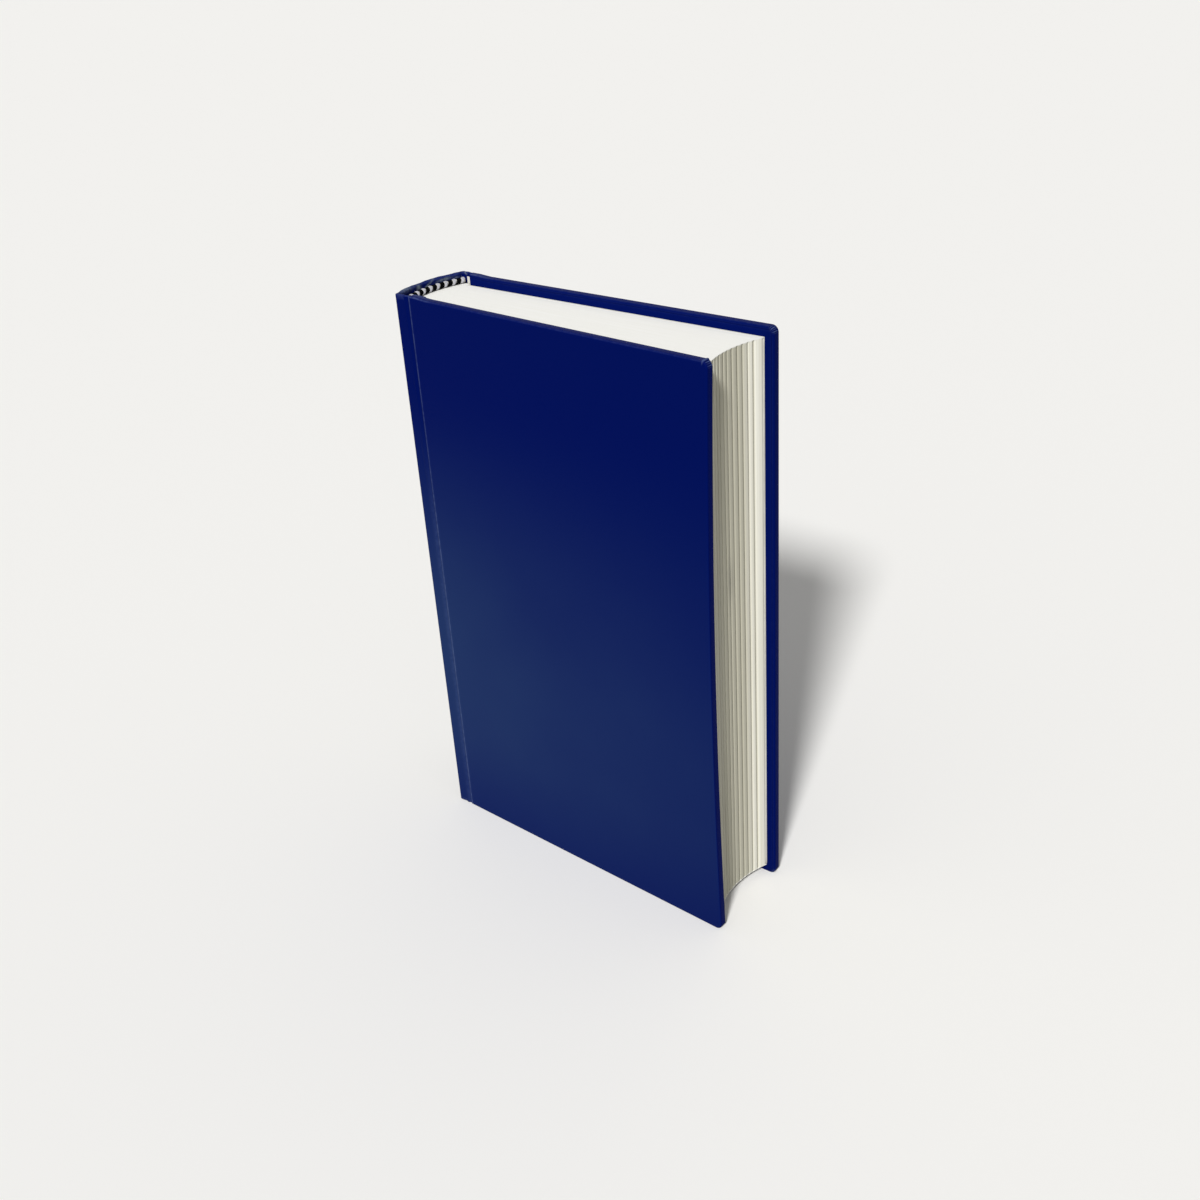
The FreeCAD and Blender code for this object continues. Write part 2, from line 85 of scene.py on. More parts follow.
PAPER = 0.15
LEAF_TOP = 101.5       # half the height of the leaves
LEAF_REACH = 122.1
LEAF_LEVEL = 3.55
FORE_HOLLOW = 3.4
SECTIONS = 13
SHOULDER_FOOT = 0.35   # joint to the foot of the backed shoulder
HOLLOW = 1.0           # hollow between the spine card and the lining
LINING = 0.2           # paper lining
MULL = 0.2             # gauze
FOLD_CROWN = 0.25      # roundness of a section's fold at the spine
FOLD_RADIUS = SPINE_RADIUS - SKIN - CARD - HOLLOW - LINING - MULL - FOLD_CROWN
CREST_RADIUS = FOLD_RADIUS + FOLD_CROWN


# ---------------------------------------------------------------- materials

def linear(hex_colour):
    """An sRGB hex colour as the linear colour that a shader takes."""
    channels = [int(hex_colour[at:at + 2], 16)/255 for at in (0, 2, 4)]
    return [c/12.92 if c <= 0.04045 else ((c + 0.055)/1.055)**2.4 for c in channels] + [1.0]


def feed(tree, socket, value):
    """Link an input to another node's output, or set it."""
    if isinstance(value, bpy.types.NodeSocket):
        tree.links.new(value, socket)
    else:
        socket.default_value = value


def add(tree, kind, settings=None, **links):
    """A node with its settings, its inputs linked or set by name."""
    node = tree.nodes.new(kind)
    for name, value in (settings or {}).items():
        setattr(node, name, value)
    for name, value in links.items():
        key = int(name[1:]) if name[0] == "_" and name[1:].isdigit() else name.replace("_", " ")
        feed(tree, node.inputs[key], value)
    return node


def calculate(tree, operation, *terms, clamp=False):
    """What an operation makes of outputs and numbers."""
    links = {f"_{at}": term for at, term in enumerate(terms)}
    return add(tree, "ShaderNodeMath", {"operation": operation, "use_clamp": clamp}, **links).outputs[0]


def mix(tree, share, first, second):
    """From one colour to another by a share. Each is an output or an sRGB hex colour."""
    first, second = (linear(end) if isinstance(end, str) else end for end in (first, second))
    return add(tree, "ShaderNodeMix", {"data_type": "RGBA"}, _0=share, _6=first, _7=second).outputs[2]


def ramp(tree, value, low, high, to_low=0.0, to_high=1.0, kind="LINEAR"):
    """A value's place from low to high, told between two other numbers."""
    return add(tree, "ShaderNodeMapRange", {"interpolation_type": kind}, Value=value,
               From_Min=low, From_Max=high, To_Min=to_low, To_Max=to_high).outputs[0]


def noise(tree, place, scale, detail, roughness=0.5):
    return add(tree, "ShaderNodeTexNoise", Vector=place, Scale=scale, Detail=detail,
               Roughness=roughness).outputs["Fac"]


def wave(tree, place, direction, apart, distortion, detail):
    """Bands so many millimetres apart."""
    return add(tree, "ShaderNodeTexWave", {"bands_direction": direction}, Vector=place,
               Scale=math.pi/(10*apart*MM), Distortion=distortion, Detail=detail).outputs["Fac"]


def stored(tree, name):
    """A number that mark has stored for each point of a piece."""
    return add(tree, "ShaderNodeAttribute", {"attribute_name": name}).outputs["Fac"]


def paint(name):
    """A new material, its node tree and its shader."""
    material = bpy.data.materials.new(name)
    material.use_nodes = True
    tree = material.node_tree
    return material, tree, tree.nodes["Principled BSDF"]


def finish(tree, shader, colour, height, strength, rough, shine, deep=0.1):
    """A shader's colour, its relief of so many millimetres, and how rough and shiny it is."""
    feed(tree, shader.inputs["Base Color"], colour)
    bump = add(tree, "ShaderNodeBump", Strength=strength, Distance=deep*MM, Height=height)
    feed(tree, shader.inputs["Normal"], bump.outputs[0])
    feed(tree, shader.inputs["Roughness"], rough)
    feed(tree, shader.inputs["Specular IOR Level"], shine)


def leather_paint():
    """Imitation leather: paper fibre under a coloured coating, embossed with a fine grain by a steel
    roller. Satin, almost even in colour. A painted reflection makes it paler and greyer low on
    the outer side; worn edges and painted highlights make it paler, and painted shade in
    pinched folds darker."""
    material, tree, shader = paint("embossed_imitation_leather")
    place = add(tree, "ShaderNodeTexCoord").outputs["Object"]
    split = add(tree, "ShaderNodeSeparateXYZ", Vector=place)
    # painted reflection: the outer side is paler and greyer below the middle and towards the spine,
    # fading again at the very foot, in place of the floor's sheen on the satin coating
    low = ramp(tree, split.outputs["Z"], 0.185, 0.065, kind="SMOOTHSTEP")
    foot = ramp(tree, split.outputs["Z"], -0.010, 0.045, 0.4, kind="SMOOTHSTEP")
    inward = ramp(tree, split.outputs["X"], 0.075, -0.060, 0.4)
    patches = noise(tree, place, 14.0, 3.0)
    uneven = ramp(tree, patches, 0.3, 0.7, 0.8, 1.15)
    painted_reflection = calculate(tree, "MULTIPLY", low, foot)
    painted_reflection = calculate(tree, "MULTIPLY", painted_reflection, inward)
    painted_reflection = calculate(tree, "MULTIPLY", painted_reflection, stored(tree, "outside"))
    painted_reflection = calculate(tree, "MULTIPLY", painted_reflection, uneven, clamp=True)
    coat = mix(tree, painted_reflection, "010F54", "1F325F")
    # worn edges and painted highlights: the coating is paler on the crest of each fold, where it has
    # worn thin, and a painted highlight runs along each joint's crease
    rub_and_highlight = ramp(tree, noise(tree, place, 600.0, 4.0, 0.6), 0.38, 0.60, 0.4)
    rub_and_highlight = calculate(tree, "MULTIPLY", rub_and_highlight, stored(tree, "wear_and_highlight"))
    coat = mix(tree, rub_and_highlight, coat, "6E80AE")
    # scuffs: the coating has cracked off and the grey paper under it shows
    ragged = ramp(tree, noise(tree, place, 900.0, 3.0, 0.6), 0.36, 0.56, 0.35)
    scuff = calculate(tree, "MULTIPLY", stored(tree, "scuff"), ragged, clamp=True)
    coat = mix(tree, scuff, coat, "8A979C")
    # painted shade in the pinched folds: the pressed line inside each cover and the valleys between
    # the corner pleats
    fold = calculate(tree, "MULTIPLY", stored(tree, "fold"), 0.8, clamp=True)
    coat = mix(tree, fold, coat, "01041C")
    # grain: cells 0.6 mm wide, with finer pores of 0.2 mm
    grain = add(tree, "ShaderNodeTexVoronoi", {"feature": "SMOOTH_F1"}, Vector=place, Scale=1600.0,
                Smoothness=0.6)
    pores = noise(tree, place, 5000.0, 2.0)
    height = calculate(tree, "MULTIPLY_ADD", pores, 0.4, grain.outputs["Distance"])
    sheen = ramp(tree, patches, 0.3, 0.7, 0.38, 0.5)
    finish(tree, shader, coat, height, 0.16, sheen, 0.012)
    return material


def leaf_paint():
    """Book paper, cut with a guillotine: cream, matt, with a fine line for each few leaves and a
    painted shadow between one section and the next. The fore-edge is warmer and duller than the
    head, partly from thumbing and partly as painted shade."""
    material, tree, shader = paint("guillotined_book_paper")
    place = add(tree, "ShaderNodeTexCoord").outputs["Object"]
    split = add(tree, "ShaderNodeSeparateXYZ", Vector=place)
    leaf = stored(tree, "leaf")
    off_head_and_tail = stored(tree, "off_head_and_tail")
    # a line for each 2 or 3 leaves, 0.25 mm, which is as fine as shows; long and straight along the cut
    across = calculate(tree, "MULTIPLY", leaf, 8.0)
    along_x = calculate(tree, "MULTIPLY", split.outputs["X"], 22.0)
    along_z = calculate(tree, "MULTIPLY", split.outputs["Z"], 9.0)
    lines = add(tree, "ShaderNodeCombineXYZ", X=across, Y=along_x, Z=along_z)
    strips = noise(tree, lines.outputs[0], 1.0, 3.0, 0.7)
    tone = ramp(tree, strips, 0.32, 0.68)
    # the fore-edge paper is warmer and darker than the head's, partly from thumbing and partly as painted
    # shade
    head = mix(tree, tone, "F6F5EE", "FCFBF7")
    fore = mix(tree, tone, "EBE8D6", "FAF8EC")
    # painted shade: the fore-edge of all but the last sections is darker, the middle ones most
    before_last = ramp(tree, leaf, 11.7, 9.5, kind="SMOOTHSTEP")
    middle = ramp(tree, leaf, 0.0, 5.5, 0.25)
    fore_edge_painted_shade = calculate(tree, "MULTIPLY", before_last, middle)
    fore = mix(tree, fore_edge_painted_shade, fore, "C6C3B1")
    paper = mix(tree, off_head_and_tail, head, fore)
    # painted shade in the gaps between sections: none at the head, where the leaves were cut pressed
    # together, and stronger towards the back
    within = calculate(tree, "PINGPONG", leaf, 0.5)
    gap = ramp(tree, within, 0.13, 0.02, kind="SMOOTHSTEP")
    depth = ramp(tree, leaf, 3.0, 10.0, 0.15, 0.8)
    depth = calculate(tree, "MULTIPLY", depth, off_head_and_tail)
    shade = calculate(tree, "MULTIPLY", gap, depth)
    paper = mix(tree, shade, paper, "8C8872")
    # a thumb's faint smudge on the fore-edge
    up = calculate(tree, "MULTIPLY_ADD", split.outputs["Z"], 90.0, -11.6)
    side = calculate(tree, "SUBTRACT", leaf, 6.8)
    spot = add(tree, "ShaderNodeCombineXYZ", X=side, Y=up, Z=0.0)
    reach = add(tree, "ShaderNodeVectorMath", {"operation": "LENGTH"}, _0=spot.outputs[0])
    smudge = ramp(tree, reach.outputs["Value"], 1.2, 0.0, 0.0, 0.4, "SMOOTHSTEP")
    paper = mix(tree, smudge, paper, "7E7C74")
    finish(tree, shader, paper, strips, 0.3, 0.85, 0.2, deep=0.2)
    return material


def pulp_paint(name, pale, dark, fibre, rough, fleck=0.0):
    """Paper or board laid down wet from pulp and dried: matt, mottled by its fibres, which are told
    by their length in millimetres. A cheap pulp has darker flecks."""
    material, tree, shader = paint(name)
    place = add(tree, "ShaderNodeTexCoord").outputs["Object"]
    tone = ramp(tree, noise(tree, place, 1/(fibre*4*MM), 4.0, 0.65), 0.3, 0.7)
    pulp = mix(tree, tone, dark, pale)
    speck = add(tree, "ShaderNodeTexVoronoi", Vector=place, Scale=1/(fibre*MM))
    near = ramp(tree, speck.outputs["Distance"], 0.22, 0.08, 0.0, fleck)
    pulp = mix(tree, near, pulp, "4A3F30")
    finish(tree, shader, pulp, noise(tree, place, 1/(fibre*MM), 3.0), 0.2, rough, 0.2)
    return material


def woven_paint(name, pale, dark, thread):
    """Plain-woven cotton, its threads so many millimetres apart: matt, with a small shadow where each
    thread dips under the next."""
    material, tree, shader = paint(name)
    place = add(tree, "ShaderNodeTexCoord").outputs["Object"]
    turned = add(tree, "ShaderNodeMapping", Vector=place, Rotation=(0.6, 0.6, 0.0)).outputs[0]
    warp = wave(tree, turned, "X", thread, 0.4, 1.0)
    weft = wave(tree, turned, "Z", thread, 0.4, 1.0)
    weave = calculate(tree, "MULTIPLY", warp, weft)
    finish(tree, shader, mix(tree, weave, dark, pale), weave, 0.5, 0.85, 0.1)
    return material


def spun_paint(name, pale, dark, rough, shine):
    """Spun and twisted thread: its fibres catch the light in short slanting glints 0.15 mm apart."""
    material, tree, shader = paint(name)
    place = add(tree, "ShaderNodeTexCoord").outputs["Object"]
    twist = wave(tree, place, "DIAGONAL", 0.15, 1.5, 2.0)
    finish(tree, shader, mix(tree, twist, dark, pale), twist, 0.3, rough, shine)
    return material


SKIN_PAINT = leather_paint()
LEAF_PAINT = leaf_paint()
# wove endpaper: heavier and softer in tone than the leaves, and a little cloudy
ENDPAPER_PAINT = pulp_paint("wove_endpaper", "E4E2DA", "DAD7CD", 1.2, 0.8)
# kraft paper: brown unbleached fibre, a little glazed on the machine
KRAFT_PAINT = pulp_paint("machine_glazed_kraft_paper", "B0926A", "94764E", 1.0, 0.6, 0.25)
# spine card and grey board: pressed from waste paper, with flecks of what it was
CARD_PAINT = pulp_paint("rolled_spine_card", "B2AC9E", "9C9686", 0.8, 0.75, 0.4)
BOARD_PAINT = pulp_paint("pressed_grey_board", "96948E", "807E76", 1.0, 0.85, 0.5)
TAPE_PAINT = woven_paint("woven_cotton_tape", "F0EFEA", "C8C5BC", 0.3)
# mull: open cotton gauze stiffened with starch
GAUZE_PAINT = woven_paint("starched_cotton_gauze", "E0DCD0", "A8A494", 0.8)
# headband yarn: mercerised cotton, swollen in lye under tension, which leaves it smooth and lustrous
LIGHT_YARN = spun_paint("mercerised_yarn_white", "D2D1D4", "9A9AA4", 0.5, 0.1)
DARK_YARN = spun_paint("mercerised_yarn_black", "030306", "010102", 0.6, 0.03)
# linen thread drawn through beeswax
THREAD_PAINT = spun_paint("waxed_linen_thread", "DCD4C0", "B8AE96", 0.55, 0.3)


# ---------------------------------------------------------------- meshes

def mesh_piece(name, points, faces, material, sharp=40):
    """A smooth piece from points in millimetres."""
    mesh = bpy.data.meshes.new(name)
    mesh.from_pydata([tuple(float(c)*MM for c in point[:3]) for point in points], [], faces)
    mesh.validate()
    mesh.shade_smooth()
    mesh.set_sharp_from_angle(angle=math.radians(sharp))
    mesh.materials.append(material)
    piece = bpy.data.objects.new(name, mesh)
    bpy.context.scene.collection.objects.link(piece)
    return piece


def mark(piece, sheet, *names):
    """Store what a sheet's points say after their place, for the piece's material to read."""
    for at, name in enumerate(names, 3):
        layer = piece.data.attributes.new(name, "FLOAT", "POINT")
        layer.data.foreach_set("value", [float(point[at]) for point in sheet.points])


def apply_modifiers(piece):
    """Turn a piece's modifiers into its mesh."""
    bpy.context.view_layer.update()
    evaluated = piece.evaluated_get(bpy.context.evaluated_depsgraph_get())
    mesh = bpy.data.meshes.new_from_object(evaluated)
    piece.modifiers.clear()
    piece.data = mesh
    return piece


def thicken(piece, thickness):
    """Give an open sheet its thickness, inwards from its outer side."""
    solid = piece.modifiers.new("thickness", "SOLIDIFY")
    solid.thickness = thickness*MM
    solid.offset = -1
    return apply_modifiers(piece)


def steps(*stops):
    """Stops with even steps between them: steps(0, (10, 5)) goes from 0 to 10 in 5 steps."""
    line = [stops[0]]
    for stop, count in stops[1:]:
        line += list(np.linspace(line[-1], stop, count + 1)[1:])
    return line


def smooth_step(value, low, high):
    share = min(1.0, max(0.0, (value - low)/(high - low)))
    return share*share*(3 - 2*share)


class Sheet:
    """Points and faces that are added row by row and joined where they meet."""

    def __init__(self):
        self.points, self.faces, self.index = [], [], {}

    def point(self, spot):
        key = tuple(round(float(c), 4) for c in spot[:3])
        if key not in self.index:
            self.index[key] = len(self.points)
            self.points.append(spot)
        return self.index[key]

    def grid(self, rows, flip=False, keep=lambda row, column: True):
        """Faces between rows of spots, unless keep says no."""
        numbers = [[self.point(spot) for spot in row] for row in rows]
        for i in range(len(numbers) - 1):
            for j in range(len(numbers[0]) - 1):
                if keep(i, j):
                    corners = [numbers[i][j], numbers[i][j + 1], numbers[i + 1][j + 1], numbers[i + 1][j]]
                    corners = list(dict.fromkeys(corners[::-1] if flip else corners))
                    if len(corners) > 2:
                        self.faces.append(corners)


# ---------------------------------------------------------------- where things are in a cover

def bow(side, along, up):
    """How far the front cover bows out of its plane."""
    if side == "back":
        return 0.0
    share = max(0.0, (along - JOINT_GAP)/(REACH - JOINT_GAP))
    return BOW*share*(1 - (up/TOP)**2)


def in_cover(side, along, up, depth):
    """A spot told along a cover from its joint, up from mid-height, and in from its face."""
    depth = depth - bow(side, along, up)
    if side == "back":
        return BACK_HINGE.x + along, BACK_HINGE.y - depth, TOP + up
    turn = AJAR*smooth_step(along, -0.3, 0.3)
    x = FRONT_HINGE.x + along*math.cos(turn) + depth*math.sin(turn)
    y = FRONT_HINGE.y - along*math.sin(turn) + depth*math.cos(turn)
    return x, y, TOP + up


# ---------------------------------------------------------------- the case

def crease(along):
    """Depth of the groove at the joint."""
    width = CREST if along < 0 else JOINT_GAP
    return GROOVE*smooth_step(1 - abs(along)/width, 0, 1)


def bump_at(value, middle, width):
    return math.exp(-((value - middle)/width)**2)


PRESSED = 0.07         # depth of the line that is pressed round inside a cover


def edge_profile(total, rub=0.0):
    """Round a cover's edge, from its face to its inside: distance out from the inset line, depth, how
    worn the covering is, and how much painted shade it takes. A line runs round inside, where it was
    pressed down, with painted shade in it."""
    outer, inner = min(OUTER_ROUND, total/2), min(INNER_ROUND, total/2)
    line = [(0, 0, 0, 0), (CORNER*0.4, 0, 0, 0)]
    for angle in np.linspace(0, math.pi/2, 7):
        line.append((CORNER - outer*(1 - math.sin(angle)), outer*(1 - math.cos(angle)),
                     rub*math.sin(2*angle), 0))
    for angle in np.linspace(0, math.pi/2, 5):
        line.append((CORNER - inner*(1 - math.cos(angle)), total - inner*(1 - math.sin(angle)),
                     rub*math.cos(angle), 0))
    pressed = PRESSED*(total > 2*HEM)
    return line + [(1.5, total, 0.02, 0), (1.32, total, 0, 0.1), (1.2, total - pressed, 0, 0.4),
                   (1.08, total, 0.02, 0.1), (0.5, total, 0, 0), (0, total, 0, 0)]


# at a cover's corner the spare covering is gathered: angle from the fore-edge, half-width, height
PLEATS = ((6, 3.5, 0.7), (20, 5.0, 1.0), (37, 4.0, 0.8), (52, 5.0, 1.0), (69, 4.0, 0.9), (84, 4.0, 0.6))
PLEAT_RISE = 0.14      # from the valley beside the highest pleat to its crest
CORNER_STEPS = 40
KNOCK = 0.32           # height of the bruise on the front cover's top corner
KNOCK_ANGLE = 74       # degrees round the corner, and its half-width
KNOCK_SPREAD = 11


def round_the_corner(spot, along, up, angle, lump=0.0):
    """The wrapped edge at one angle of a cover's corner, where the spare covering lies in pleats."""
    way = math.radians(angle)
    pleat = sum(high*bump_at(abs(angle), at, half) for at, half, high in PLEATS)
    knocked = lump*bump_at(abs(angle), KNOCK_ANGLE, KNOCK_SPREAD)
    row = []
    for out, depth, wear_and_highlight, fold in edge_profile(COVER):
        on_edge = smooth_step(out, 0.9, CORNER)
        share = on_edge*smooth_step(depth, 0.25, 1.0)
        far = out + PLEAT_RISE*share*(pleat - 0.5)*math.sin(2*abs(way)) + knocked*on_edge
        # paler on the pleats' crests and at the bruise, and painted shade in the valleys between the
        # pleats
        row.append(spot(along + far*math.cos(way), up + far*math.sin(way), depth,
                        max(wear_and_highlight, 0.8*share*pleat**3, 0.6*bump_at(knocked, 0.3, 0.1)*on_edge),
                        max(fold, share*max(0.0, 0.7 - 1.6*pleat))))
    return row


def crease_highlight(along, up):
    """Painted highlight across a joint: a thin pale line where the covering dips at the board, and
    below the middle a soft painted sheen that rises to it from the spine's edge."""
    line = (0.4 - 0.12*smooth_step(up, 0, 60))*bump_at(along, JOINT_GAP, 0.26)
    sheen = 0.12*smooth_step(along, -2.4, JOINT_GAP - 0.2)*smooth_step(along, 1.8, 0.9)
    return max(line, sheen*smooth_step(up, 55, 10))


JOINT_RISE = 0.35      # how much the covering stands up at the head of a joint, pulled by use
SPRUNG = 2.0           # how far the front turn-in has sprung off its board there


def cover_skin(side):
    """One board's covering: the face, the wrapped edges with their turn-ins, and on through the
    crease of the joint."""
    far, high = REACH - CORNER, TOP - CORNER
    # close together where the joint bends, and wide apart on the flat
    across = steps(-CREST, (-0.2, 6), (0.2, 2), (JOINT_GAP - 0.1, 4), (JOINT_GAP, 1), (1.6, 4), (4, 3),
                   (REACH - TURN_IN, 46), (far, 6))
    upward = steps(-high, (-(TOP - TURN_IN), 6), (TOP - TURN_IN, 82), (LEAF_TOP, 6), (high, 4))

    def total(along):
        return HEM if along < JOINT_GAP - 0.05 else COVER

    def spot(along, up, depth, wear_and_highlight=0.0, fold=0.0):
        """A spot of the skin: how worn or lit by a painted highlight it is there, how much painted shade
        it takes, and if it is on the outer side.
        """
        wear_and_highlight = max(wear_and_highlight, crease_highlight(along, up)*(depth < 0.1))
        by_joint = smooth_step(along, 9.0, 3.5)
        inner = smooth_step(depth, 0.6*COVER, COVER)*smooth_step(along, -CREST, 1.2)
        sprung = SPRUNG*(side == "front")*by_joint*inner*smooth_step(up, LEAF_TOP, high)
        sprung *= smooth_step(up, TOP, TOP - 1.0)
        raised = up + JOINT_RISE*by_joint*smooth_step(up, TOP - 6, TOP - 1)
        place = in_cover(side, along, raised, depth + sprung + crease(along)*(along < JOINT_GAP))
        return (*place, wear_and_highlight, fold, smooth_step(depth, 0.3, 0.1))

    sheet = Sheet()
    flip = side == "back"
    sheet.grid([[spot(a, u, 0) for a in across] for u in upward], flip)
    rings = [[spot(a, -high - d, t, w, f) for d, t, w, f in edge_profile(total(a), 0.03)] for a in across]
    turns = np.linspace(0, 90, CORNER_STEPS)[1:-1]
    rings += [round_the_corner(spot, far, -high, -angle) for angle in turns[::-1]]
    rings += [[spot(far + d, u, t, w, f) for d, t, w, f in edge_profile(COVER)] for u in upward]
    rings += [round_the_corner(spot, far, high, angle, KNOCK*(side == "front")) for angle in turns]
    rings += [[spot(a, high + d, t, w, f)
               for d, t, w, f in edge_profile(total(a), 0.06 + 0.22*smooth_step(a, 14, 4))]
              for a in across[::-1]]
    sheet.grid(rings, flip)

    def outside_window(row, column):
        return (across[column] > REACH - TURN_IN - 0.01 or upward[row] > TOP - TURN_IN - 0.01
                or upward[row + 1] < -(TOP - TURN_IN) + 0.01)
    sheet.grid([[spot(a, u, total(a)) for a in across] for u in upward], not flip, outside_window)
    piece = mesh_piece(f"{side}_case_skin", sheet.points, sheet.faces, SKIN_PAINT)
    mark(piece, sheet, "wear_and_highlight", "fold", "outside")
    thicken(piece, SKIN)
    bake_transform(piece)
    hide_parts(f"{side}_covering")
    return piece


def spine_path():
    """Spots round the outside of the case's spine, from the front crease to the back one, each with
    its outward direction."""
    centre = Vector((SPINE_AXIS, MIDDLE_Y))
    near = HALF_CASE - SPINE_CORNER
    turn = Vector((SPINE_AXIS - math.sqrt((SPINE_RADIUS - SPINE_CORNER)**2 - near**2), MIDDLE_Y - near))
    out = (turn - centre).normalized()
    edge = math.atan2(out.y, out.x)
    half = [(Vector((FRONT_HINGE.x - CREST - x, FRONT_HINGE.y)), Vector((0, -1)))
            for x in steps(0, (0.6, 3), (FRONT_HINGE.x - CREST - turn.x, 9))[:-1]]
    for angle in np.linspace(-math.pi/2, edge, 7):
        way = Vector((math.cos(angle), math.sin(angle)))
        half.append((turn + way*SPINE_CORNER, way))
    for angle in np.linspace(edge, -math.pi, 31)[1:]:
        way = Vector((math.cos(angle), math.sin(angle)))
        half.append((centre + way*SPINE_RADIUS, way))
    other = [(Vector((p.x, 2*MIDDLE_Y - p.y)), Vector((w.x, -w.y))) for p, w in half[-2::-1]]
    return half + other


# knocks beside the front crease: from the joint, up, depth, half-width and half-height
DENTS = ((2.3, 155.0, 0.22, 0.45, 1.5), (2.1, 150.0, 0.22, 0.45, 1.5), (2.0, 143.5, 0.22, 0.45, 1.5),
         (1.9, 178.0, 0.25, 0.6, 1.2))


def dent(from_joint, up):
    """How deep the strip beside the front crease is knocked in."""
    return sum(deep*bump_at(from_joint, x, wide)*bump_at(up, z, high)
               for x, z, deep, wide, high in DENTS)


def crumple(share, up):
    """How the folded covering at the head of the spine is crumpled: waves along the fold."""
    wave = 0.5*math.sin(share*23.0 + 0.7) + 0.3*math.sin(share*51.0) + 0.2*math.sin(share*97.0 + 2.0)
    return wave*smooth_step(abs(up), TOP - 9, TOP - 1)


def cap_rise(share):
    """How much the fold over the spine stands up, from the front joint (0) round to the back one."""
    return JOINT_RISE*(smooth_step(share, 0.5, 0.2) + smooth_step(share, 0.85, 0.97)) + 0.08


# where the fold at the head is cracked by fingers that pull the book off its shelf: share of the way
# round the spine, drop from the head, half-width, half-height, slant, and how bare it is
SCUFFS = (
    (0.300, 0.2, 0.070, 0.9, 0.00, 0.40), (0.433, 1.3, 0.020, 1.0, 0.00, 1.00),
    (0.522, 1.5, 0.013, 1.2, -0.04, 0.95), (0.665, 1.2, 0.050, 0.5, -0.05, 0.85),
    (0.770, 1.5, 0.020, 0.3, -0.03, 0.50), (0.835, 2.1, 0.014, 0.6, 0.00, 0.90),
    (0.945, 0.5, 0.012, 0.5, 0.02, 0.60),
)


SCUFFED_DOWN = 4.5     # down to here the rows are close enough to show the scuffs
SUNK = 0.22            # how far the folded covering sinks inside the spine, give or take as much


def scuffed(share, drop):
    """How far the coating is cracked off at a spot inside the head of the spine."""
    return max(bare*bump_at(share - slant*(drop - low), at, wide)*bump_at(drop, low, high)
               for at, low, wide, high, slant, bare in SCUFFS)


def spine_skin():
    """The covering round the spine, folded over its card at head and tail."""
    sheet = Sheet()
    columns = spine_path()
    climb = steps(-1, (1, 140))

    def total(place):
        gap = min(place.y - FRONT_HINGE.y, BACK_HINGE.y - place.y)
        return HEM + (CARD_HEM - HEM)*smooth_step(gap, 0.5, 1.25)

    def profile(place):
        """Up the outside, over the fold and down the inside: height, depth, and how far inside."""
        thick = total(place)
        radius = thick/2
        line = [(up*(TOP - radius), 0, 0) for up in climb]
        for angle in np.linspace(0, math.pi, 9)[1:]:
            line.append((TOP - radius + radius*math.sin(angle), radius*(1 - math.cos(angle)),
                         smooth_step(angle, 1.2, math.pi)))
        line += [(z, thick, 1)
                 for z in steps(TOP - radius, (TOP - SCUFFED_DOWN, 13), (TOP - TURN_IN, 6))[1:]]
        foot = [(-z, d, i) for z, d, i in line[len(climb):]][::-1]
        return foot + line

    rows = []
    for number, (place, way) in enumerate(columns):
        share = number/(len(columns) - 1)
        from_joint = FRONT_HINGE.x - place.x
        on_front = place.y < MIDDLE_Y and way.y < -0.9
        row = []
        for z, depth, inside in profile(place):
            waves = crumple(share, z)
            sunk = depth + inside*SUNK*(1 + waves) + (dent(from_joint, TOP + z) if on_front else 0)
            raised = (cap_rise(share) + 0.12*waves)*smooth_step(z, TOP - 6, TOP - 1)
            raised += 0.18*(1 + waves)*smooth_step(-z, TOP - 2, TOP)
            wear_and_highlight = max(crease_highlight(-from_joint, z)*(depth < 0.1),
                       0.12*smooth_step(abs(z), TOP - 1, TOP - 0.4))
            scuff = scuffed(share, TOP - z)*smooth_step(depth, 0.05, 0.3)
            row.append((place.x - way.x*sunk, place.y - way.y*sunk, TOP + z + raised, wear_and_highlight, scuff,
                        smooth_step(depth, 0.3, 0.1)))
        rows.append(row)
    sheet.grid(rows)
    piece = mesh_piece("spine_case_skin", sheet.points, sheet.faces, SKIN_PAINT)
    mark(piece, sheet, "wear_and_highlight", "scuff", "outside")
    thicken(piece, SKIN)
    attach(piece, "book_block")
    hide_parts("spine_covering")


# ---------------------------------------------------------------- the leaves

SWELL = 0.16           # a section is at most this much wider or narrower than the mean
OPEN_SECTION = 1.6     # the last section's width to the mean
# the lines of leaves in a section, close together beside its valleys
LINES = (0, 0.05, 0.1, 0.16, 0.3, 0.5, 0.7, 0.84, 0.9, 0.95)
SHOULDER_IN = 1.6      # side of the case to the outermost fold
KNEE_IN = 0.3          # from that fold in to the knee of the shoulder
BAND_CROWN = 0.2       # roundness of a section's leaves at the fore-edge


def section_edges():
    """Where each section begins and ends, as shares of the block from front to back. Sections swell
    a little differently, and the last one stands open."""
    chance = np.random.default_rng(7)
    widths = 1 + chance.uniform(-SWELL, SWELL, SECTIONS)
    widths[-1] = OPEN_SECTION
    return [0.0, *np.cumsum(widths)/widths.sum()]


